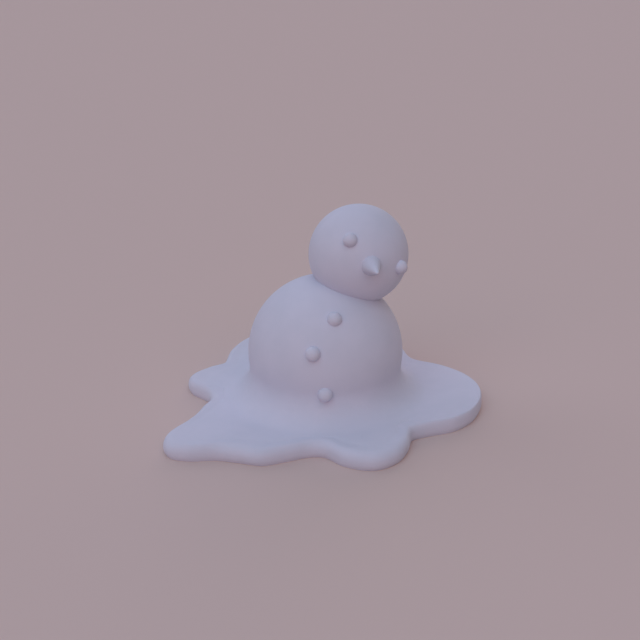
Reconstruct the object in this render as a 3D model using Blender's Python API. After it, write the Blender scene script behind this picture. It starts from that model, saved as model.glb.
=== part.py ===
"""Melting snowman: a big ball that has slumped into its own puddle, with a leaning head.

Metres, +Z up. The origin is on the ground under the body ball's middle, and the face looks
along -Y. Left and right are as seen from the front.
"""

import math

import bmesh
import bpy
import numpy as np
from mathutils import Matrix, Vector

# Body ball and the puddle under it
BODY_RADIUS = 0.238
BODY_HEIGHT = 0.181          # middle of the body ball above the ground
PUDDLE_THICKNESS = 0.050
FLARE_RADIUS = 0.083         # hollow curve from the ball to the puddle's top
DISH_DEPTH = 0.0015          # the puddle's top is this much lower inside its rim
DISH_WIDTH = 0.055           # how far inside the rim the dish begins

# Rim of the puddle, seen from above: bearing in degrees from +X towards +Y, reach in metres.
RIM = (
    (0, 0.492), (12, 0.478), (24, 0.439), (36, 0.390),               # wide right tongue
    (43, 0.395), (53, 0.446), (65, 0.500), (77, 0.492),              # back tongue, right
    (90, 0.458), (101, 0.497), (111, 0.545), (122, 0.524),           # back tongue, left
    (134, 0.473), (147, 0.411), (156, 0.437), (165, 0.459),          # left finger
    (172, 0.440), (180, 0.376), (189, 0.362), (197, 0.396),          # bay between the fingers
    (203, 0.427), (208, 0.474), (213, 0.549), (219, 0.568),          # front left finger
    (224, 0.540), (230, 0.485), (238, 0.456), (246, 0.439),          # front tongue
    (254, 0.394), (262, 0.360), (270, 0.360), (277, 0.408),          # shallow bay
    (287, 0.447), (297, 0.437), (305, 0.405), (314, 0.364),          # front right tongue
    (323, 0.384), (333, 0.436), (345, 0.474),                        # back to the right tongue
)

# How far the rim's top edge is rounded in, by bearing: small is crisp, large is a soft roll.
EDGE_ROUNDING = (
    (0, 0.006), (40, 0.010), (80, 0.016), (115, 0.022), (160, 0.034), (180, 0.026), (215, 0.033),
    (235, 0.034), (250, 0.031), (262, 0.026), (272, 0.031), (285, 0.032), (300, 0.028),
    (312, 0.019), (324, 0.012), (340, 0.007),
)
EDGE_FULLNESS = 0.85         # below 1 the rounding bulges more than a quarter of an ellipse
RIM_WIDEST = 0.38            # height of the rim's widest line, as a share of the thickness
RIM_TUCK = 0.006             # the rim turns in by this much down to the ground
SHORTEST_FLAT = 0.002        # the puddle's top keeps this width where the rim comes close

# Head ball
HEAD_RADIUS = 0.150
HEAD_DISTANCE = 0.3187       # between the middles of head and body
LEAN = 18.4                  # tilt of the line between the middles, in degrees from upright
LEAN_BEARING = 12.0          # direction of that tilt

# Small balls, half sunk in the snow
EYE_RADIUS = 0.0212
BUTTON_RADIUS = 0.0220

# Directions from a ball's middle: turn to the right of straight ahead, then height, in degrees
EYE_LEFT = (-13.5, 31.4)
EYE_RIGHT = (52.4, -4.8)
NOSE = (12.9, 3.5)
NOSE_AIM = (7.8, 1.9)        # the nose droops a little off the head's own radius
BUTTON_TOP = (8.2, 44.1)
BUTTON_MIDDLE = (-9.4, 19.6)
BUTTON_BOTTOM_TURN = -0.4
BUTTON_BOTTOM_HEIGHT = 0.1405   # above the ground, on the flare

# Nose
NOSE_RADIUS = 0.0306         # at its base ring, just under the head's face
NOSE_LENGTH = 0.0863
NOSE_TIP_RADIUS = 0.0044
NOSE_SEAT = 0.144            # distance of the nose's base ring from the head's middle
NOSE_ROOT = 0.022            # buried length
NOSE_ROOT_RADIUS = 0.022

GAP = 0.0003                 # between pieces that touch

SNOW_COLOUR = (0.62, 0.62, 0.72)
PELLET_COLOUR = (0.60, 0.60, 0.69)
CONE_COLOUR = (0.61, 0.61, 0.70)
SNOW_ROUGHNESS = 0.85
PELLET_ROUGHNESS = 0.80

# Fineness of the faceted surfaces
SHARP_ANGLE = 40             # edges that bend more than this, in degrees, stay sharp
SAME_POINT = 1e-6            # points closer than this are one
RIM_STEP = 0.25              # degrees between the places where the rim's length is measured
SPOKES = 114
RIM_SPREAD = 0.7             # share of the spokes that go by the rim's length
BALL_RINGS = 13
FLARE_RINGS = 6
FLAT_RINGS = 3
EDGE_RINGS = 5
TUCK_RINGS = 2
HEAD_SPOKES = 36
HEAD_RINGS = 20
SMALL_SPOKES = 16
SMALL_RINGS = 10
NOSE_SPOKES = 20
NOSE_TIP_RINGS = 4

BODY_MIDDLE = Vector((0, 0, BODY_HEIGHT))
LEAN_AXIS = Vector((math.sin(math.radians(LEAN)) * math.cos(math.radians(LEAN_BEARING)),
                    math.sin(math.radians(LEAN)) * math.sin(math.radians(LEAN_BEARING)),
                    math.cos(math.radians(LEAN))))
HEAD_MIDDLE = BODY_MIDDLE + HEAD_DISTANCE * LEAN_AXIS
# The two balls meet in a plane at this distance from the body's middle
SEAM = (HEAD_DISTANCE ** 2 + BODY_RADIUS ** 2 - HEAD_RADIUS ** 2) / (2 * HEAD_DISTANCE)


def clear_scene():
    for thing in list(bpy.data.objects):
        bpy.data.objects.remove(thing)


def make_material(name, colour, roughness):
    material = bpy.data.materials.new(name)
    material.use_nodes = True
    shader = material.node_tree.nodes["Principled BSDF"]
    shader.inputs["Base Color"].default_value = (*colour, 1)
    shader.inputs["Roughness"].default_value = roughness
    shader.inputs["Metallic"].default_value = 0
    material.diffuse_color = (*colour, 1)
    return material


def object_from(name, mesh_maker, material):
    """A new object whose mesh a function fills in, shaded smooth."""
    mesh = bpy.data.meshes.new(name)
    shape = bmesh.new()
    mesh_maker(shape)
    bmesh.ops.recalc_face_normals(shape, faces=shape.faces[:])
    shape.to_mesh(mesh)
    shape.free()
    mesh.shade_smooth()
    mesh.set_sharp_from_angle(angle=math.radians(SHARP_ANGLE))
    mesh.materials.append(material)
    thing = bpy.data.objects.new(name, mesh)
    bpy.context.scene.collection.objects.link(thing)
    return thing


def direction(turn, height):
    """Unit vector: turn degrees to the right of -Y, height degrees above level."""
    turn = math.radians(turn)
    height = math.radians(height)
    level = math.cos(height)
    return Vector((level * math.sin(turn), -level * math.cos(turn), math.sin(height)))


def around(knots, bearing):
    """Smooth value at a bearing, from knots that close on themselves after 360 degrees."""
    places = np.array([knot[0] for knot in knots], float)
    values = np.array([knot[1] for knot in knots], float)
    after = np.searchsorted(places, bearing % 360, side="right") % len(knots)
    before = after - 1
    step = (places[after] - places[before]) % 360
    share = ((bearing - places[before]) % 360) / step
    # A slope at each knot from its two neighbours, then a cubic between the knots
    span_before = (places[after] - places[before - 1]) % 360
    span_after = (places[(after + 1) % len(knots)] - places[before]) % 360
    slope_before = (values[after] - values[before - 1]) / span_before * step
    slope_after = (values[(after + 1) % len(knots)] - values[before]) / span_after * step
    return ((2 * share ** 3 - 3 * share ** 2 + 1) * values[before]
            + (share ** 3 - 2 * share ** 2 + share) * slope_before
            + (3 * share ** 2 - 2 * share ** 3) * values[after]
            + (share ** 3 - share ** 2) * slope_after)


def spoke_bearings(count):
    """Bearings at the rim, partly evenly turned and partly even along the rim's length."""
    fine = np.arange(0, 360, RIM_STEP)
    reach = np.array([around(RIM, bearing) for bearing in fine])
    x = reach * np.cos(np.radians(fine))
    y = reach * np.sin(np.radians(fine))
    length = np.hypot(np.roll(x, -1) - x, np.roll(y, -1) - y)
    weight = (1 - RIM_SPREAD) / len(fine) + RIM_SPREAD * length / length.sum()
    run = np.concatenate(([0], np.cumsum(weight)))
    return np.interp(np.arange(count) / count, run, np.append(fine, 360))


def flare():
    """The hollow curve's middle, as reach and height, and the ball's angle where it begins."""
    rise = BODY_HEIGHT - PUDDLE_THICKNESS
    reach = math.sqrt((BODY_RADIUS + FLARE_RADIUS) ** 2 - (rise - FLARE_RADIUS) ** 2)
    height = PUDDLE_THICKNESS + FLARE_RADIUS
    start = math.atan2(BODY_HEIGHT - height, reach)
    return reach, height, start


def spoke_profile(reach, rounding):
    """Points (distance from the axis, height) down one spoke, from the ball's top to the ground."""
    middle_reach, middle_height, start = flare()
    points = []
    for ring in range(1, BALL_RINGS + 1):
        angle = math.pi / 2 - (math.pi / 2 + start) * ring / BALL_RINGS
        points.append((BODY_RADIUS * math.cos(angle), BODY_HEIGHT + BODY_RADIUS * math.sin(angle)))
    shoulder = reach - rounding
    flat_start = min(middle_reach, shoulder - SHORTEST_FLAT)
    end = math.acos((middle_reach - flat_start) / FLARE_RADIUS)
    for ring in range(1, FLARE_RINGS + 1):
        angle = -start + (end + start) * ring / FLARE_RINGS
        points.append((middle_reach - FLARE_RADIUS * math.cos(angle),
                       middle_height - FLARE_RADIUS * math.sin(angle)))
    top = points[-1][1]
    for ring in range(1, FLAT_RINGS + 1):
        out = flat_start + (shoulder - flat_start) * ring / FLAT_RINGS
        dish = DISH_DEPTH * math.sin(math.pi * min(1, (shoulder - out) / DISH_WIDTH)) ** 2
        points.append((out, top - dish))
    widest = RIM_WIDEST * PUDDLE_THICKNESS
    for ring in range(1, EDGE_RINGS + 1):
        angle = math.pi / 2 * ring / EDGE_RINGS
        rise = math.cos(angle) ** EDGE_FULLNESS if ring < EDGE_RINGS else 0
        points.append((shoulder + rounding * math.sin(angle), widest + (top - widest) * rise))
    for ring in range(1, TUCK_RINGS + 1):
        share = ring / TUCK_RINGS
        points.append((reach - RIM_TUCK * share ** 2, widest * (1 - share)))
    return points


def fill_melting_body(shape):
    """Rings round the body's axis, from the ball's top down and out to the rim and under it."""
    bearings = spoke_bearings(SPOKES)
    even = np.arange(SPOKES) * 360 / SPOKES
    even = even + ((bearings - even + 180) % 360 - 180).mean()
    # On the ball the spokes turn evenly; from the waist out they swing to their place on the rim
    turns = (bearings - even + 180) % 360 - 180
    waist = flare()[0] - FLARE_RADIUS
    reaches = [around(RIM, bearing) for bearing in bearings]
    spokes = []
    for bearing, reach in zip(bearings, reaches):
        spokes.append(spoke_profile(reach, around(EDGE_ROUNDING, bearing)))
    rings = len(spokes[0])
    top = shape.verts.new((0, 0, BODY_HEIGHT + BODY_RADIUS))
    bottom = shape.verts.new((0, 0, 0))
    grid = []
    for ring in range(rings):
        row = []
        for spoke in range(SPOKES):
            out, height = spokes[spoke][ring]
            share = max(0, (out - waist) / (reaches[spoke] - waist)) if ring > BALL_RINGS else 0
            swing = share * share * (3 - 2 * share)
            bearing = math.radians(even[spoke] + turns[spoke] * swing)
            row.append(shape.verts.new((out * math.cos(bearing), out * math.sin(bearing), height)))
        grid.append(row)
    for spoke in range(SPOKES):
        after = (spoke + 1) % SPOKES
        shape.faces.new((top, grid[0][spoke], grid[0][after]))
        for ring in range(rings - 1):
            inner = grid[ring]
            outer = grid[ring + 1]
            shape.faces.new((inner[spoke], outer[spoke], outer[after], inner[after]))
        shape.faces.new((bottom, grid[-1][after], grid[-1][spoke]))


def cut_flat(shape, point, normal):
    """Cut away what lies beyond a plane, and close the cut."""
    every = shape.verts[:] + shape.edges[:] + shape.faces[:]
    cut = bmesh.ops.bisect_plane(shape, geom=every, dist=SAME_POINT, plane_co=point,
                                 plane_no=normal, clear_outer=True)
    rim = [part for part in cut["geom_cut"] if isinstance(part, bmesh.types.BMEdge)]
    bmesh.ops.contextual_create(shape, geom=rim)


def make_melting_body(material):
    def fill(shape):
        fill_melting_body(shape)
        cut_flat(shape, BODY_MIDDLE + (SEAM - GAP / 2) * LEAN_AXIS, LEAN_AXIS)
    return object_from("melting_body", fill, material)


def make_head(material):
    def fill(shape):
        bmesh.ops.create_uvsphere(shape, u_segments=HEAD_SPOKES, v_segments=HEAD_RINGS,
                                  radius=HEAD_RADIUS)
        tilt = LEAN_AXIS.to_track_quat("Z", "Y").to_matrix().to_4x4()
        place = Matrix.Translation(HEAD_MIDDLE) @ tilt
        bmesh.ops.transform(shape, matrix=place, verts=shape.verts[:])
        cut_flat(shape, BODY_MIDDLE + (SEAM + GAP / 2) * LEAN_AXIS, -LEAN_AXIS)
    return object_from("head", fill, material)


def make_small_ball(name, middle, facing, radius, material):
    """A ball whose poles lie along the direction that it faces."""
    def fill(shape):
        bmesh.ops.create_uvsphere(shape, u_segments=SMALL_SPOKES, v_segments=SMALL_RINGS,
                                  radius=radius)
    ball = object_from(name, fill, material)
    ball.location = middle
    ball.rotation_mode = "QUATERNION"
    ball.rotation_quaternion = facing.to_track_quat("Z", "Y")
    return ball


def nose_profile(grow):
    """Points (radius, distance along the nose), from the buried end to the tip; grow widens it."""
    end = -NOSE_ROOT - grow
    points = [(0, end), (NOSE_ROOT_RADIUS + grow, end), (NOSE_RADIUS + grow, 0)]
    tip_middle = NOSE_LENGTH - NOSE_TIP_RADIUS
    slope = math.atan2(NOSE_RADIUS - NOSE_TIP_RADIUS, tip_middle)
    tip = NOSE_TIP_RADIUS + grow
    for step in range(NOSE_TIP_RINGS):
        angle = slope + (math.pi / 2 - slope) * step / NOSE_TIP_RINGS
        points.append((tip * math.cos(angle), tip_middle + tip * math.sin(angle)))
    points.append((0, tip_middle + tip))
    return points


def make_nose(name, material, grow=0.0):
    """A cone turned from its profile, with a blunt tip and a tapered root that sits in the head."""
    def fill(shape):
        verts = [shape.verts.new((radius, 0, along)) for radius, along in nose_profile(grow)]
        edges = [shape.edges.new(pair) for pair in zip(verts, verts[1:])]
        bmesh.ops.spin(shape, geom=verts + edges, axis=(0, 0, 1), cent=(0, 0, 0),
                       angle=2 * math.pi, steps=NOSE_SPOKES, use_duplicate=False)
        bmesh.ops.remove_doubles(shape, verts=shape.verts[:], dist=SAME_POINT)
    nose = object_from(name, fill, material)
    # The cone's base ring lies just inside the round head, so that its whole edge is covered
    nose.location = HEAD_MIDDLE + NOSE_SEAT * direction(*NOSE)
    nose.rotation_mode = "QUATERNION"
    nose.rotation_quaternion = direction(*NOSE_AIM).to_track_quat("Z", "Y")
    return nose


def cut_socket(host, cutter):
    """Take the cutter's shape out of the host; the cutter itself is only a tool."""
    cutter.hide_render = True
    cutter.display_type = "WIRE"
    socket = host.modifiers.new(cutter.name, "BOOLEAN")
    socket.operation = "DIFFERENCE"
    socket.solver = "EXACT"
    socket.object = cutter


def flare_point(turn, height):
    """A point on the flare, by its turn and height above the ground, and the way it faces."""
    middle_reach, middle_height, start = flare()
    angle = math.asin((middle_height - height) / FLARE_RADIUS)
    out = middle_reach - FLARE_RADIUS * math.cos(angle)
    level = direction(turn, 0)
    point = level * out + Vector((0, 0, height))
    facing = level * math.cos(angle) + Vector((0, 0, math.sin(angle)))
    return point, facing


def ball_point(middle, radius, toward):
    """A point on a big ball in a direction given as turn and height, and the way it faces."""
    facing = direction(*toward)
    return middle + radius * facing, facing


def build():
    clear_scene()
    snow = make_material("packed_snow", SNOW_COLOUR, SNOW_ROUGHNESS)
    pellets = make_material("snow_pellet", PELLET_COLOUR, PELLET_ROUGHNESS)
    cone = make_material("snow_cone", CONE_COLOUR, PELLET_ROUGHNESS)

    body = make_melting_body(snow)
    head = make_head(snow)

    top = ball_point(BODY_MIDDLE, BODY_RADIUS, BUTTON_TOP)
    middle = ball_point(BODY_MIDDLE, BODY_RADIUS, BUTTON_MIDDLE)
    bottom = flare_point(BUTTON_BOTTOM_TURN, BUTTON_BOTTOM_HEIGHT)
    small_balls = (
        ("eye_left", head, ball_point(HEAD_MIDDLE, HEAD_RADIUS, EYE_LEFT), EYE_RADIUS),
        ("eye_right", head, ball_point(HEAD_MIDDLE, HEAD_RADIUS, EYE_RIGHT), EYE_RADIUS),
        ("button_top", body, top, BUTTON_RADIUS),
        ("button_middle", body, middle, BUTTON_RADIUS),
        ("button_bottom", body, bottom, BUTTON_RADIUS),
    )
    for name, host, (point, facing), radius in small_balls:
        make_small_ball(name, point, facing, radius, pellets)
        socket = make_small_ball(name + "_socket", point, facing, radius + GAP, pellets)
        cut_socket(host, socket)
    make_nose("nose", cone)
    cut_socket(head, make_nose("nose_socket", cone, grow=GAP))


build()
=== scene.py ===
"""Melting snowman: the looks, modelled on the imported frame.

Metres, +Z up. The origin is on the ground under the body ball's middle, and the face looks
along -Y. Left and right are as seen from the front. Bearings run from +X towards +Y.
"""

import math

import bmesh
import bpy
import numpy as np
from bpy.props import FloatProperty, FloatVectorProperty, PointerProperty
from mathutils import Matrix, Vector


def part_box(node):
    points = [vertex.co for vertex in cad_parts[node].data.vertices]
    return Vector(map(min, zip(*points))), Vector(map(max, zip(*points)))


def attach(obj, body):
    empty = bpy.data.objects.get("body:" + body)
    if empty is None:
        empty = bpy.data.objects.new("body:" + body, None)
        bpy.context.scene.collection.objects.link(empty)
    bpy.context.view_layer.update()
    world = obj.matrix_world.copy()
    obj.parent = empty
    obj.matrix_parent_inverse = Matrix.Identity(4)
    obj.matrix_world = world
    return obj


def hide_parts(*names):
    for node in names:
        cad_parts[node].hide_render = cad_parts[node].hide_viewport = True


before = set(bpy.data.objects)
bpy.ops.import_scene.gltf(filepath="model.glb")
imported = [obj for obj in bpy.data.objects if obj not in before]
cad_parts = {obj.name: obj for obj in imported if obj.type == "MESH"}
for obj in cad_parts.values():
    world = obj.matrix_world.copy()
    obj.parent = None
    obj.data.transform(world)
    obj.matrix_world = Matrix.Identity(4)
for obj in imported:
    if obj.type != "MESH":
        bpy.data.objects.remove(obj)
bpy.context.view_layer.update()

bl_info = {
    "name": "Melting Snowman",
    "version": (1, 0, 0),
    "blender": (4, 5, 0),
    "location": "3D View > Sidebar > Snowman",
    "description": "Models a snowman that melts into its own puddle",
    "category": "Add Mesh",
}

# The smooth snow stays this far inside the solids' own round shapes, and its rim a little more,
# because a smooth rim bulges past the solid's straight edges
SKIN = 0.0003
RIM_SKIN = 0.0008

# Rim of the puddle, seen from above: bearing in degrees, reach in metres
RIM = (
    (0, 0.492), (12, 0.478), (24, 0.439), (36, 0.390),               # wide right tongue
    (43, 0.395), (53, 0.446), (65, 0.500), (77, 0.492),              # back tongue, right
    (90, 0.458), (101, 0.497), (111, 0.545), (122, 0.524),           # back tongue, left
    (134, 0.473), (147, 0.411), (156, 0.437), (165, 0.459),          # left finger
    (172, 0.440), (180, 0.376), (189, 0.362), (197, 0.396),          # bay between the fingers
    (203, 0.427), (208, 0.474), (213, 0.549), (219, 0.568),          # front left finger
    (224, 0.540), (230, 0.485), (238, 0.456), (246, 0.439),          # front tongue
    (254, 0.394), (262, 0.360), (270, 0.360), (277, 0.408),          # shallow bay
    (287, 0.447), (297, 0.437), (305, 0.405), (314, 0.364),          # front right tongue
    (323, 0.384), (333, 0.436), (345, 0.474),                        # back to the right tongue
)

# How far the rim's top edge is rounded in, by bearing: small is crisp, large is a soft roll
EDGE_ROUNDING = (
    (0, 0.006), (40, 0.010), (80, 0.016), (115, 0.022), (160, 0.034), (180, 0.026), (215, 0.033),
    (235, 0.034), (250, 0.031), (262, 0.026), (272, 0.031), (285, 0.032), (300, 0.028),
    (312, 0.019), (324, 0.012), (340, 0.007),
)
EDGE_FULLNESS = 0.85         # below 1 the rounding bulges more than a quarter of an ellipse
RIM_WIDEST = 0.38            # height of the rim's widest line, as a share of the thickness
SHORTEST_FLAT = 0.002        # the puddle's top keeps this width where the rim comes close

# Eyes and buttons
PELLETS = ("eye_left", "eye_right", "button_top", "button_middle", "button_bottom")
PELLET_RADIUS = 0.022
PELLET_TURN = (1.1, 0.7, 1.9)    # each is turned by this much more, so that no two look alike

# The nose's buried root, which widens up to the head's face
NOSE_ROOT_LENGTH = 0.022
NOSE_ROOT_RADIUS = 0.022
NOSE_ROOT_END = 0.004            # corners this near to the far end belong to the root's end

# Length of the shallow waves on each piece; those of the pellets are in radii
BODY_WAVE = 0.11
HEAD_WAVE = 0.08
NOSE_WAVE = 0.03
PELLET_WAVE = 0.9

# Packed wet snow. The patches are all dry below one value of their noise, all wet above the next
DRY_BELOW = 0.35
WET_ABOVE = 0.65
PATCH_DETAIL = 3.0
PATCH_ROUGHNESS = 0.55
GRAIN_DETAIL = 2.5
GRAIN_ROUGHNESS = 0.6
DRY_ROUGHER = 0.04           # dry patches are rougher than the snow as a whole by this much
WET_SMOOTHER = 0.06          # wet patches are smoother by this much
FIRM_GRAIN = 0.7             # small pieces are rolled firmer, which makes their clumps smaller
FULL_SHADE_BELOW = -0.87         # upward share of a face's normal where the painted underside shade is full and where the painted underside shade has faded out
NO_SHADE_ABOVE = 0.26         # and where none is left
ICE_IOR = 1.31
SNOW_SPECULAR = 0.3

# Fineness of the round meshes
RIM_STEP = 0.25              # degrees between the places where the rim's length is measured
RIM_SPREAD = 0.6             # share of the spokes that go by the rim's length
BODY_SPOKES = 400
BALL_RINGS = 46
FLARE_RINGS = 16
FLAT_RINGS = 12
EDGE_RINGS = 12
TUCK_RINGS = 5
HEAD_SPOKES = 128
HEAD_RINGS = 64
PELLET_SPOKES = 48
PELLET_RINGS = 24
NOSE_SPOKES = 64
NOSE_TIP_RINGS = 8
NOSE_SIDE_RINGS = 14
SAME_POINT = 1e-6
CREASE_ANGLE = math.radians(20)

# A Mix node has sockets of one name for each kind of data, so the colour's are told by number
MIX_SHARE = 0
MIX_FIRST = 6
MIX_SECOND = 7
MIX_RESULT = 2

# Camera and lights
CAMERA_AIM = Vector((-0.0167, 0.1054, 0.2389))
SENSOR_WIDTH = 36
LIGHT_DISTANCE = 4.0
LIGHT_SOFTNESS = math.radians(50)

# Each light: name, bearing and height in degrees, strength, colour
SOFT_LIGHTS = (
    ("low_back_right_light", 60, 12, 0.345, "#FFE1BA"),
    ("back_light", 90, 30, 0.451, "#F1E3FF"),
    ("back_left_light", 150, 30, 0.422, "#EBE8FF"),
    ("low_front_left_light", 240, 12, 0.484, "#FFC3CC"),
    ("front_left_light", 240, 50, 0.561, "#A8E5FF"),
    ("front_right_light", 300, 50, 0.437, "#FFE1EC"),
    ("top_light", 0, 88, 0.295, "#B0CBFF"),
)


def linear(colour):
    """An sRGB hex colour as linear red, green and blue."""
    parts = [int(colour[place:place + 2], 16) / 255 for place in (1, 3, 5)]
    return [part / 12.92 if part <= 0.04045 else ((part + 0.055) / 1.055) ** 2.4 for part in parts]


def box_middle(node):
    low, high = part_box(node)
    return (low + high) / 2


def box_radius(node):
    low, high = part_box(node)
    return max(high - low) / 2


def head_ball():
    """Middle and radius of the head's ball, from its top and sides, as its foot is cut away."""
    low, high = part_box("head")
    radius = (high.x - low.x) / 2
    return Vector(((low.x + high.x) / 2, (low.y + high.y) / 2, high.z - radius)), radius


HEAD_MIDDLE, HEAD_RADIUS = head_ball()


class SnowmanSizes(bpy.types.PropertyGroup):
    """Sizes of the snow"""

    body_radius: FloatProperty(
        name="Body radius", description="Radius of the big ball", default=0.238, subtype="DISTANCE")
    body_height: FloatProperty(
        name="Body height", description="Height of the big ball's middle above the ground",
        default=0.181, subtype="DISTANCE")
    puddle_thickness: FloatProperty(
        name="Puddle thickness", description="Height of the puddle's top above the ground",
        default=0.050, subtype="DISTANCE")
    flare_radius: FloatProperty(
        name="Flare radius",
        description="Radius of the hollow curve between the ball and the puddle",
        default=0.083, subtype="DISTANCE")
    dish_depth: FloatProperty(
        name="Dish depth", description="How much lower the puddle's top is inside its rim",
        default=0.0015, subtype="DISTANCE")
    dish_width: FloatProperty(
        name="Dish width", description="Width of the shallow dish inside the rim",
        default=0.055, subtype="DISTANCE")
    rim_tuck: FloatProperty(
        name="Rim tuck", description="How far the rim turns in down to the ground",
        default=0.006, subtype="DISTANCE")
    nose_radius: FloatProperty(
        name="Nose radius", description="Radius of the nose just under the head's face",
        default=0.0306, subtype="DISTANCE")
    nose_tip_radius: FloatProperty(
        name="Nose tip radius", description="Radius of the nose's blunt tip",
        default=0.0044, subtype="DISTANCE")
    unevenness: FloatProperty(
        name="Unevenness", description="Height of the shallow waves that hand pressing leaves",
        default=0.0003, subtype="DISTANCE")


class SnowmanFinish(bpy.types.PropertyGroup):
    """Colours and grain of the snow"""

    snow_light: FloatVectorProperty(
        name="Snow", description="Colour of the dry part of the snow",
        default=linear("#DBDBE9"), subtype="COLOR", min=0, max=1)
    snow_wet: FloatVectorProperty(
        name="Wet snow", description="Colour where meltwater darkens the snow",
        default=linear("#D7D8E6"), subtype="COLOR", min=0, max=1)
    grain: FloatProperty(
        name="Grain", description="Size of the clumps of melted grains",
        default=0.007, subtype="DISTANCE")
    grain_depth: FloatProperty(
        name="Grain depth", description="Depth of the grain's relief",
        default=0.00025, subtype="DISTANCE")
    mottle: FloatProperty(
        name="Mottle", description="Size of the wetter and drier patches",
        default=0.09, subtype="DISTANCE")
    # Painted shade: how much the eyes' undersides are darkened, by how far each face looks down
    eye_underside_shade: FloatProperty(
        name="Eye soak", description="How much meltwater darkens the underside of the eyes",
        default=0.12, subtype="FACTOR", min=0, max=1)
    # Painted shade: how much the nose's underside is darkened, by how far each face looks down
    nose_underside_shade: FloatProperty(
        name="Nose soak", description="How much meltwater darkens the underside of the nose",
        default=0.16, subtype="FACTOR", min=0, max=1)
    roughness: FloatProperty(
        name="Roughness", description="Roughness of the matte surface",
        default=0.85, subtype="FACTOR", min=0, max=1)


class SnowmanStage(bpy.types.PropertyGroup):
    """Floor, camera and lights"""

    floor_colour: FloatVectorProperty(
        name="Floor", description="Colour of the plain floor",
        default=linear("#DCC6BE"), subtype="COLOR", min=0, max=1)
    floor_size: FloatProperty(
        name="Floor size", description="Width of the floor", default=400.0, subtype="DISTANCE")
    surround_colour: FloatVectorProperty(
        name="Surround", description="Colour of the even light from all sides",
        default=linear("#FFFFFF"), subtype="COLOR", min=0, max=1)
    surround_strength: FloatProperty(
        name="Surround strength", description="Strength of the even light from all sides",
        default=0.15, min=0)
    backdrop_colour: FloatVectorProperty(
        name="Backdrop", description="Colour that the camera sees above the floor's far edge",
        default=linear("#A6969C"), subtype="COLOR", min=0, max=1)
    camera_distance: FloatProperty(
        name="Camera distance", description="From the aim point to the camera",
        default=2.83, subtype="DISTANCE")
    camera_height: FloatProperty(
        name="Camera height", description="Angle of the camera above level",
        default=math.radians(21), subtype="ANGLE")
    lens: FloatProperty(
        name="Lens", description="Focal length on a 36 mm sensor",
        default=50.0, subtype="DISTANCE_CAMERA")


def deselect():
    """Leave edit mode and select nothing."""
    if bpy.context.object and bpy.context.object.mode != "OBJECT":
        bpy.ops.object.mode_set(mode="OBJECT")
    bpy.ops.object.select_all(action="DESELECT")


def pick(piece):
    """Select this piece alone and make it the active one."""
    deselect()
    piece.select_set(True)
    bpy.context.view_layer.objects.active = piece


def apply_place(piece):
    """Put the piece's place, turn and scale into its mesh, so that it sits at the origin."""
    pick(piece)
    bpy.ops.object.transform_apply(location=True, rotation=True, scale=True)


def around(knots, bearing):
    """Smooth value at a bearing, from knots that close on themselves after 360 degrees."""
    count = len(knots)
    after = next((place for place in range(count) if knots[place][0] > bearing % 360), 0)
    places = [knots[(after + step) % count][0] for step in (-2, -1, 0, 1)]
    values = [knots[(after + step) % count][1] for step in (-2, -1, 0, 1)]
    span = (places[2] - places[1]) % 360
    share = ((bearing - places[1]) % 360) / span
    # A slope at each knot from its two neighbours, then a cubic between the knots
    slope_before = (values[2] - values[0]) / ((places[2] - places[0]) % 360) * span
    slope_after = (values[3] - values[1]) / ((places[3] - places[1]) % 360) * span
    return ((2 * share ** 3 - 3 * share ** 2 + 1) * values[1]
            + (share ** 3 - 2 * share ** 2 + share) * slope_before
            + (3 * share ** 2 - 2 * share ** 3) * values[2]
            + (share ** 3 - share ** 2) * slope_after)


def spoke_bearings(count):
    """Bearings at the rim, partly evenly turned and partly even along the rim's length."""
    fine = np.arange(0, 360, RIM_STEP)
    reach = np.array([around(RIM, bearing) for bearing in fine])
    x = reach * np.cos(np.radians(fine))
    y = reach * np.sin(np.radians(fine))
    length = np.hypot(np.roll(x, -1) - x, np.roll(y, -1) - y)
    weight = (1 - RIM_SPREAD) / len(fine) + RIM_SPREAD * length / length.sum()
    run = np.concatenate(([0], np.cumsum(weight)))
    return np.interp(np.arange(count) / count, run, np.append(fine, 360))


def flare(sizes):
    """The hollow curve's middle, as reach and height, and the ball's angle where it begins."""
    rise = sizes.body_height - sizes.puddle_thickness
    tilt = rise - sizes.flare_radius
    reach = math.sqrt((sizes.body_radius + sizes.flare_radius) ** 2 - tilt ** 2)
    height = sizes.puddle_thickness + sizes.flare_radius
    start = math.atan2(sizes.body_height - height, reach)
    return reach, height, start


def slump_line(reach, rounding, sizes):
    """Points (distance from the axis, height) from the ball's top down and out to the ground."""
    middle_reach, middle_height, start = flare(sizes)
    radius = sizes.body_radius - SKIN
    hollow = sizes.flare_radius + SKIN
    points = [(0, sizes.body_height + radius)]
    for ring in range(1, BALL_RINGS + 1):
        angle = math.pi / 2 - (math.pi / 2 + start) * ring / BALL_RINGS
        points.append((radius * math.cos(angle), sizes.body_height + radius * math.sin(angle)))
    shoulder = reach - rounding
    flat_start = min(middle_reach, shoulder - SHORTEST_FLAT)
    end = math.acos((middle_reach - flat_start) / hollow)
    for ring in range(1, FLARE_RINGS + 1):
        angle = -start + (end + start) * ring / FLARE_RINGS
        points.append((middle_reach - hollow * math.cos(angle),
                       middle_height - hollow * math.sin(angle)))
    top = points[-1][1]
    for ring in range(1, FLAT_RINGS + 1):
        out = flat_start + (shoulder - flat_start) * ring / FLAT_RINGS
        inward = min(1, (shoulder - out) / sizes.dish_width)
        points.append((out, top - sizes.dish_depth * math.sin(math.pi * inward) ** 2))
    widest = RIM_WIDEST * sizes.puddle_thickness
    for ring in range(1, EDGE_RINGS + 1):
        angle = math.pi / 2 * ring / EDGE_RINGS
        rise = math.cos(angle) ** EDGE_FULLNESS if ring < EDGE_RINGS else 0
        points.append((shoulder + rounding * math.sin(angle), widest + (top - widest) * rise))
    for ring in range(1, TUCK_RINGS + 1):
        share = ring / TUCK_RINGS
        points.append((reach - sizes.rim_tuck * share ** 2, widest * (1 - share)))
    points.append((0, 0))
    return points


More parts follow.
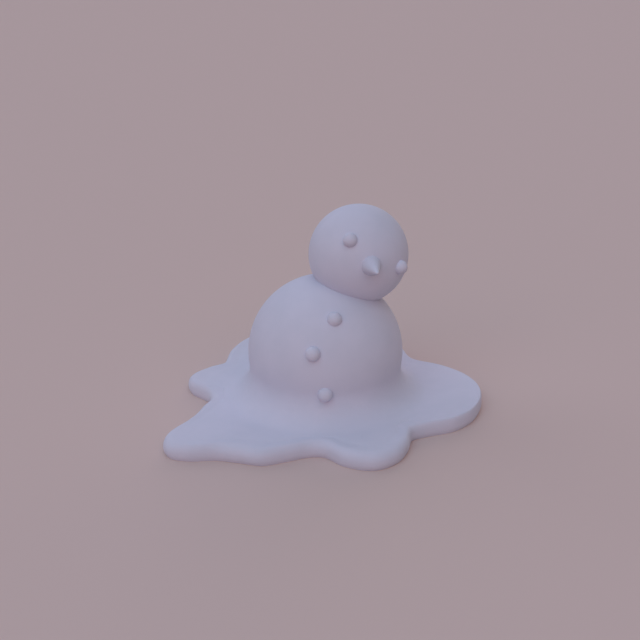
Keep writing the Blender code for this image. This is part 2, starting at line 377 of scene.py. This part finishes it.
def seam(sizes):
    """A point of the plane in which the two balls meet, and its direction, towards the head."""
    body_middle = Vector((0, 0, sizes.body_height))
    line = HEAD_MIDDLE - body_middle
    along = (line.length ** 2 + sizes.body_radius ** 2 - HEAD_RADIUS ** 2) / (2 * line.length)
    return body_middle + line.normalized() * along, line.normalized()


def turned_piece(name, points, spokes):
    """A line of points beside the Z axis, drawn point by point and spun once round the axis.

    Every point of the mesh keeps the number of its ring in the layer named ring.
    """
    deselect()
    bpy.ops.mesh.primitive_plane_add(size=1)
    piece = bpy.context.object
    piece.name = name
    bpy.ops.object.mode_set(mode="EDIT")
    bpy.ops.mesh.merge(type="CENTER")
    line = [Vector((out, 0, height)) for out, height in points]
    bpy.ops.transform.translate(value=line[0])
    for before, after in zip(line, line[1:]):
        bpy.ops.mesh.extrude_region_move(TRANSFORM_OT_translate={"value": after - before})
    shape = bmesh.from_edit_mesh(piece.data)
    rings = shape.verts.layers.int.new("ring")
    for vert in shape.verts:
        vert[rings] = min(range(len(line)), key=lambda ring: (line[ring] - vert.co).length)
    bmesh.update_edit_mesh(piece.data)
    bpy.ops.mesh.select_all(action="SELECT")
    bpy.ops.mesh.spin(steps=spokes, angle=math.tau, center=(0, 0, 0), axis=(0, 0, 1))
    bpy.ops.mesh.select_all(action="SELECT")
    bpy.ops.mesh.remove_doubles(threshold=SAME_POINT)
    bpy.ops.mesh.normals_make_consistent(inside=False)
    bpy.ops.object.mode_set(mode="OBJECT")
    return piece


def slice_off(piece, point, normal):
    """Cut off what lies beyond a plane and close the cut."""
    pick(piece)
    bpy.ops.object.mode_set(mode="EDIT")
    bpy.ops.mesh.select_all(action="SELECT")
    bpy.ops.mesh.bisect(plane_co=point, plane_no=normal, use_fill=True, clear_outer=True)
    bpy.ops.mesh.select_all(action="SELECT")
    bpy.ops.mesh.normals_make_consistent(inside=False)
    bpy.ops.object.mode_set(mode="OBJECT")


def make_uneven(piece, wave, height, group=""):
    """Shallow waves of a given length, pressed into the mesh."""
    pick(piece)
    pattern = bpy.data.textures.new(piece.name + "_waves", "CLOUDS")
    pattern.noise_scale = wave
    pattern.noise_depth = 1
    waves = piece.modifiers.new("waves", "DISPLACE")
    waves.texture = pattern
    waves.texture_coords = "LOCAL"
    waves.strength = height
    waves.mid_level = 0.5
    waves.vertex_group = group
    bpy.ops.object.modifier_apply(modifier=waves.name)


def finish_piece(piece, material, slot, *nodes):
    """Shade, paint and hang the finished piece on the frame."""
    pick(piece)
    bpy.ops.object.shade_smooth_by_angle(angle=CREASE_ANGLE)
    piece.data.materials.clear()
    piece.data.materials.append(material)
    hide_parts(*nodes)
    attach(piece, "root")


def add_node(tree, kind, settings=None, links=None):
    """A node of one kind, with its settings, socket values and incoming links."""
    node = tree.nodes.new(kind)
    for name, value in (settings or {}).items():
        if hasattr(node, name):
            setattr(node, name, value)
        else:
            node.inputs[name].default_value = value
    for name, source in (links or {}).items():
        tree.links.new(source, node.inputs[name])
    return node


def packed_wet_snow(name, finish, grain_share=1.0, painted_underside_shade=0.0):
    """Packed wet snow, pressed by hand and smoothed by thaw.

    Melted grains freeze together into soft clumps, so the face is matte and nearly even, with a
    faint relief and slightly greyer patches where it holds meltwater. Real grains of about
    1.5 mm are finer than a pixel, so the relief is drawn as clumps of several grains. A small
    piece can also be given painted shade on its underside, darker the more its face looks down.
    """
    material = bpy.data.materials.new(name)
    material.use_nodes = True
    tree = material.node_tree
    tree.nodes.clear()
    place = add_node(tree, "ShaderNodeTexCoord").outputs["Object"]
    patches = add_node(
        tree, "ShaderNodeTexNoise",
        {"Scale": 1 / finish.mottle, "Detail": PATCH_DETAIL, "Roughness": PATCH_ROUGHNESS},
        {"Vector": place})
    clumps = add_node(
        tree, "ShaderNodeTexNoise",
        {"Scale": 1 / (finish.grain * grain_share), "Detail": GRAIN_DETAIL,
         "Roughness": GRAIN_ROUGHNESS},
        {"Vector": place})
    wetness = add_node(
        tree, "ShaderNodeMapRange",
        {"From Min": DRY_BELOW, "From Max": WET_ABOVE}, {"Value": patches.outputs["Fac"]})
    colour = add_node(tree, "ShaderNodeMix", {"data_type": "RGBA"})
    colour.inputs[MIX_FIRST].default_value = (*finish.snow_light, 1)
    colour.inputs[MIX_SECOND].default_value = (*finish.snow_wet, 1)
    tree.links.new(wetness.outputs["Result"], colour.inputs[MIX_SHARE])
    # Painted shade: the colour darkens the more the face looks down, in place of the shade under a
    # small piece
    facing = add_node(tree, "ShaderNodeNewGeometry").outputs["Normal"]
    upward = add_node(tree, "ShaderNodeSeparateXYZ", None, {"Vector": facing}).outputs["Z"]
    underside_shading = add_node(
        tree, "ShaderNodeMapRange",
        {"interpolation_type": "SMOOTHSTEP", "From Min": FULL_SHADE_BELOW, "From Max": NO_SHADE_ABOVE,
         "To Min": 1 - painted_underside_shade},
        {"Value": upward})
    shaded_colour = add_node(
        tree, "ShaderNodeVectorMath", {"operation": "SCALE"},
        {"Vector": colour.outputs[MIX_RESULT], "Scale": underside_shading.outputs["Result"]})
    sheen = add_node(
        tree, "ShaderNodeMapRange",
        {"To Min": finish.roughness + DRY_ROUGHER, "To Max": finish.roughness - WET_SMOOTHER},
        {"Value": wetness.outputs["Result"]})
    relief = add_node(
        tree, "ShaderNodeBump",
        {"Strength": 1.0, "Distance": finish.grain_depth}, {"Height": clumps.outputs["Fac"]})
    snow = add_node(
        tree, "ShaderNodeBsdfPrincipled",
        {"IOR": ICE_IOR, "Metallic": 0.0, "Specular IOR Level": SNOW_SPECULAR},
        {"Base Color": shaded_colour.outputs["Vector"], "Roughness": sheen.outputs["Result"],
         "Normal": relief.outputs["Normal"]})
    add_node(tree, "ShaderNodeOutputMaterial", None, {"Surface": snow.outputs["BSDF"]})
    return material


def shared_snow(name, finish, *settings):
    """The snow of that name, made the first time that it is asked for."""
    return bpy.data.materials.get(name) or packed_wet_snow(name, finish, *settings)


class SNOWMAN_OT_body(bpy.types.Operator):
    """Body ball that has slumped into its puddle, in one piece"""

    bl_idname = "snowman.body"
    bl_label = "Melting Body"

    def execute(self, context):
        sizes = context.scene.snowman_sizes
        bearings = spoke_bearings(BODY_SPOKES)
        lines = []
        for bearing in bearings:
            reach = around(RIM, bearing) - RIM_SKIN
            lines.append(slump_line(reach, around(EDGE_ROUNDING, bearing), sizes))
        body = turned_piece("melting_body_snow", lines[0], BODY_SPOKES)
        waist = flare(sizes)[0] - sizes.flare_radius
        self.draw_out(body, bearings, lines, waist)
        foot_free = self.above_ground(body, sizes.puddle_thickness)
        make_uneven(body, BODY_WAVE, sizes.unevenness, foot_free)
        body.vertex_groups.clear()
        slice_off(body, *seam(sizes))
        material = shared_snow("packed_wet_snow", context.scene.snowman_finish)
        finish_piece(body, material, "snow", "melting_body")
        return {"FINISHED"}

    def draw_out(self, body, bearings, lines, waist):
        """Move each point of the turned shape to its own spoke's line.

        On the ball the spokes turn evenly; from the waist out they swing to their place on the
        rim.
        """
        even = np.arange(len(bearings)) * 360 / len(bearings)
        turns = (bearings - even + 180) % 360 - 180
        even = even + turns.mean()
        turns = turns - turns.mean()
        rings = body.data.attributes["ring"].data
        widest = BALL_RINGS + FLARE_RINGS + FLAT_RINGS + EDGE_RINGS
        for vert in body.data.vertices:
            ring = rings[vert.index].value
            turn = math.degrees(math.atan2(vert.co.y, vert.co.x))
            spoke = round(turn * len(lines) / 360) % len(lines)
            out, height = lines[spoke][ring]
            reach = lines[spoke][widest][0]
            share = min(1, max(0, (out - waist) / (reach - waist))) if ring > BALL_RINGS else 0
            swing = share * share * (3 - 2 * share)
            bearing = math.radians(even[spoke] + turns[spoke] * swing)
            vert.co = (out * math.cos(bearing), out * math.sin(bearing), height)
        body.data.attributes.remove(body.data.attributes["ring"])

    def above_ground(self, body, thickness):
        """A vertex group that leaves the flat foot out, and fades in up the rim."""
        group = body.vertex_groups.new(name="above_ground")
        for vert in body.data.vertices:
            group.add([vert.index], min(1, max(0, vert.co.z / thickness)), "REPLACE")
        return group.name


class SNOWMAN_OT_head(bpy.types.Operator):
    """Head ball, pressed on the body and leaning over"""

    bl_idname = "snowman.head"
    bl_label = "Head"

    def execute(self, context):
        sizes = context.scene.snowman_sizes
        deselect()
        bpy.ops.mesh.primitive_uv_sphere_add(
            segments=HEAD_SPOKES, ring_count=HEAD_RINGS, radius=HEAD_RADIUS - SKIN,
            location=HEAD_MIDDLE)
        head = bpy.context.object
        head.name = "head_snow"
        seam_point, lean = seam(sizes)
        head.rotation_euler = lean.to_track_quat("Z", "Y").to_euler()
        apply_place(head)
        make_uneven(head, HEAD_WAVE, sizes.unevenness)
        slice_off(head, seam_point - lean * SKIN, -lean)
        material = shared_snow("packed_wet_snow", context.scene.snowman_finish)
        finish_piece(head, material, "snow", "head")
        return {"FINISHED"}


class SNOWMAN_OT_pellets(bpy.types.Operator):
    """Eyes and buttons: small balls rolled from snow and pushed half way in"""

    bl_idname = "snowman.pellets"
    bl_label = "Eyes and Buttons"

    def execute(self, context):
        sizes = context.scene.snowman_sizes
        finish = context.scene.snowman_finish
        button = shared_snow("hand_rolled_snow", finish, FIRM_GRAIN)
        # The eyes' snow is darker on its underside: painted shade
        eye = shared_snow("underside_shaded_hand_rolled_snow", finish, FIRM_GRAIN, finish.eye_underside_shade)
        deselect()
        bpy.ops.mesh.primitive_uv_sphere_add(
            segments=PELLET_SPOKES, ring_count=PELLET_RINGS, radius=1)
        pattern = bpy.context.object
        pattern.name = "pellet_pattern"
        make_uneven(pattern, PELLET_WAVE, sizes.unevenness / PELLET_RADIUS)
        for number, node in enumerate(PELLETS):
            pick(pattern)
            bpy.ops.object.duplicate()
            pellet = bpy.context.object
            pellet.name = node + "_snow"
            pellet.location = box_middle(node)
            pellet.scale = [box_radius(node) - SKIN / 2] * 3
            pellet.rotation_euler = [number * turn for turn in PELLET_TURN]
            apply_place(pellet)
            finish_piece(pellet, eye if node.startswith("eye") else button, "pellets", node)
        bpy.data.objects.remove(pattern)
        return {"FINISHED"}


class SNOWMAN_OT_nose(bpy.types.Operator):
    """Pointed nose, shaped by hand and pushed into the head"""

    bl_idname = "snowman.nose"
    bl_label = "Nose"

    def execute(self, context):
        sizes = context.scene.snowman_sizes
        finish = context.scene.snowman_finish
        tip, root = self.ends()
        points = self.side_line(sizes, (tip - root).length - SKIN)
        nose = turned_piece("nose_snow", points, NOSE_SPOKES)
        nose.location = root
        nose.rotation_euler = (tip - root).to_track_quat("Z", "Y").to_euler()
        apply_place(nose)
        nose.data.attributes.remove(nose.data.attributes["ring"])
        make_uneven(nose, NOSE_WAVE, sizes.unevenness)
        # The nose's snow is darker on its underside: painted shade
        material = shared_snow("hand_shaped_snow", finish, FIRM_GRAIN, finish.nose_underside_shade)
        finish_piece(nose, material, "nose", "nose")
        return {"FINISHED"}

    def ends(self):
        """The nose's tip, and the middle of its buried end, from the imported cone."""
        corners = [vert.co.copy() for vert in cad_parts["nose"].data.vertices]
        tip = max(corners, key=lambda corner: (corner - HEAD_MIDDLE).length)
        far = max((corner - tip).length for corner in corners)
        end = [corner for corner in corners if (corner - tip).length > far - NOSE_ROOT_END]
        return tip, sum(end, Vector()) / len(end)

    def side_line(self, sizes, length):
        """Points (radius, distance from the buried end) along the side and round the tip."""
        base_radius = sizes.nose_radius - SKIN
        tip_middle = length - sizes.nose_tip_radius
        slope = math.atan2(sizes.nose_radius - sizes.nose_tip_radius,
                           tip_middle - NOSE_ROOT_LENGTH)
        end_radius = sizes.nose_tip_radius * math.cos(slope)
        end_along = tip_middle + sizes.nose_tip_radius * math.sin(slope)
        points = [(0, 0), (NOSE_ROOT_RADIUS - SKIN, 0), (base_radius, NOSE_ROOT_LENGTH)]
        for step in range(1, NOSE_SIDE_RINGS):
            share = step / NOSE_SIDE_RINGS
            points.append((base_radius + (end_radius - base_radius) * share,
                           NOSE_ROOT_LENGTH + (end_along - NOSE_ROOT_LENGTH) * share))
        for step in range(NOSE_TIP_RINGS):
            angle = slope + (math.pi / 2 - slope) * step / NOSE_TIP_RINGS
            points.append((sizes.nose_tip_radius * math.cos(angle),
                           tip_middle + sizes.nose_tip_radius * math.sin(angle)))
        points.append((0, length))
        return points


class SNOWMAN_OT_stage(bpy.types.Operator):
    """Plain floor, soft lights and the camera"""

    bl_idname = "snowman.stage"
    bl_label = "Floor, Lights and Camera"

    def execute(self, context):
        stage = context.scene.snowman_stage
        self.lay_floor(stage)
        self.light_evenly(context.scene, stage)
        for light in SOFT_LIGHTS:
            self.hang_light(*light)
        self.place_camera(context.scene, stage)
        context.scene.view_settings.view_transform = "Standard"
        return {"FINISHED"}

    def lay_floor(self, stage):
        deselect()
        bpy.ops.mesh.primitive_plane_add(size=stage.floor_size)
        floor = bpy.context.object
        floor.name = "floor"
        # Matte paint, which shows soft shadows and no reflections
        material = bpy.data.materials.new("matte_floor_paint")
        material.use_nodes = True
        shader = material.node_tree.nodes["Principled BSDF"]
        shader.inputs["Base Color"].default_value = (*stage.floor_colour, 1)
        shader.inputs["Roughness"].default_value = 1.0
        shader.inputs["Specular IOR Level"].default_value = 0.0
        floor.data.materials.append(material)

    def light_evenly(self, scene, stage):
        """Even light from all sides, behind which the camera sees a backdrop like the lit floor."""
        world = bpy.data.worlds.new("surround")
        world.use_nodes = True
        tree = world.node_tree
        tree.nodes.clear()
        light = add_node(
            tree, "ShaderNodeBackground",
            {"Color": (*stage.surround_colour, 1), "Strength": stage.surround_strength})
        backdrop = add_node(tree, "ShaderNodeBackground", {"Color": (*stage.backdrop_colour, 1)})
        seen = add_node(tree, "ShaderNodeLightPath").outputs["Is Camera Ray"]
        mixed = add_node(tree, "ShaderNodeMixShader", None, {"Fac": seen})
        tree.links.new(light.outputs["Background"], mixed.inputs[1])
        tree.links.new(backdrop.outputs["Background"], mixed.inputs[2])
        add_node(tree, "ShaderNodeOutputWorld", None, {"Surface": mixed.outputs["Shader"]})
        scene.world = world

    def hang_light(self, name, bearing, height, strength, colour):
        bearing = math.radians(bearing)
        height = math.radians(height)
        way = Vector((math.cos(height) * math.cos(bearing), math.cos(height) * math.sin(bearing),
                      math.sin(height)))
        bpy.ops.object.light_add(type="SUN", location=way * LIGHT_DISTANCE)
        lamp = bpy.context.object
        lamp.name = name
        lamp.rotation_euler = way.to_track_quat("Z", "Y").to_euler()
        lamp.data.energy = strength
        lamp.data.color = linear(colour)
        lamp.data.angle = LIGHT_SOFTNESS

    def place_camera(self, scene, stage):
        back = Vector((0, -math.cos(stage.camera_height), math.sin(stage.camera_height)))
        bpy.ops.object.camera_add(location=CAMERA_AIM + back * stage.camera_distance,
                                  rotation=(math.pi / 2 - stage.camera_height, 0, 0))
        camera = bpy.context.object
        camera.data.lens = stage.lens
        camera.data.sensor_width = SENSOR_WIDTH
        scene.camera = camera


# What the panel lists: a group of settings and the operators that use it
PANEL_PARTS = (
    ("snowman_sizes", ("snowman.body", "snowman.head", "snowman.pellets", "snowman.nose")),
    ("snowman_finish", ()),
    ("snowman_stage", ("snowman.stage",)),
)


class SNOWMAN_PT_tools(bpy.types.Panel):
    """Buttons for the snowman's pieces"""

    bl_idname = "SNOWMAN_PT_tools"
    bl_label = "Melting Snowman"
    bl_space_type = "VIEW_3D"
    bl_region_type = "UI"
    bl_category = "Snowman"

    def draw(self, context):
        for settings, steps in PANEL_PARTS:
            group = getattr(context.scene, settings)
            for name in group.__annotations__:
                self.layout.prop(group, name)
            for step in steps:
                self.layout.operator(step)


GROUPS = {
    "snowman_sizes": SnowmanSizes,
    "snowman_finish": SnowmanFinish,
    "snowman_stage": SnowmanStage,
}
TOOLS = (
    SNOWMAN_OT_body, SNOWMAN_OT_head, SNOWMAN_OT_pellets, SNOWMAN_OT_nose, SNOWMAN_OT_stage,
    SNOWMAN_PT_tools,
)


def register():
    for name, group in GROUPS.items():
        bpy.utils.register_class(group)
        setattr(bpy.types.Scene, name, PointerProperty(type=group))
    for tool in TOOLS:
        bpy.utils.register_class(tool)


def unregister():
    for tool in reversed(TOOLS):
        bpy.utils.unregister_class(tool)
    for name, group in GROUPS.items():
        delattr(bpy.types.Scene, name)
        bpy.utils.unregister_class(group)


def main():
    register()
    bpy.ops.snowman.body()
    bpy.ops.snowman.head()
    bpy.ops.snowman.pellets()
    bpy.ops.snowman.nose()
    bpy.ops.snowman.stage()


if __name__ == "__main__":
    main()
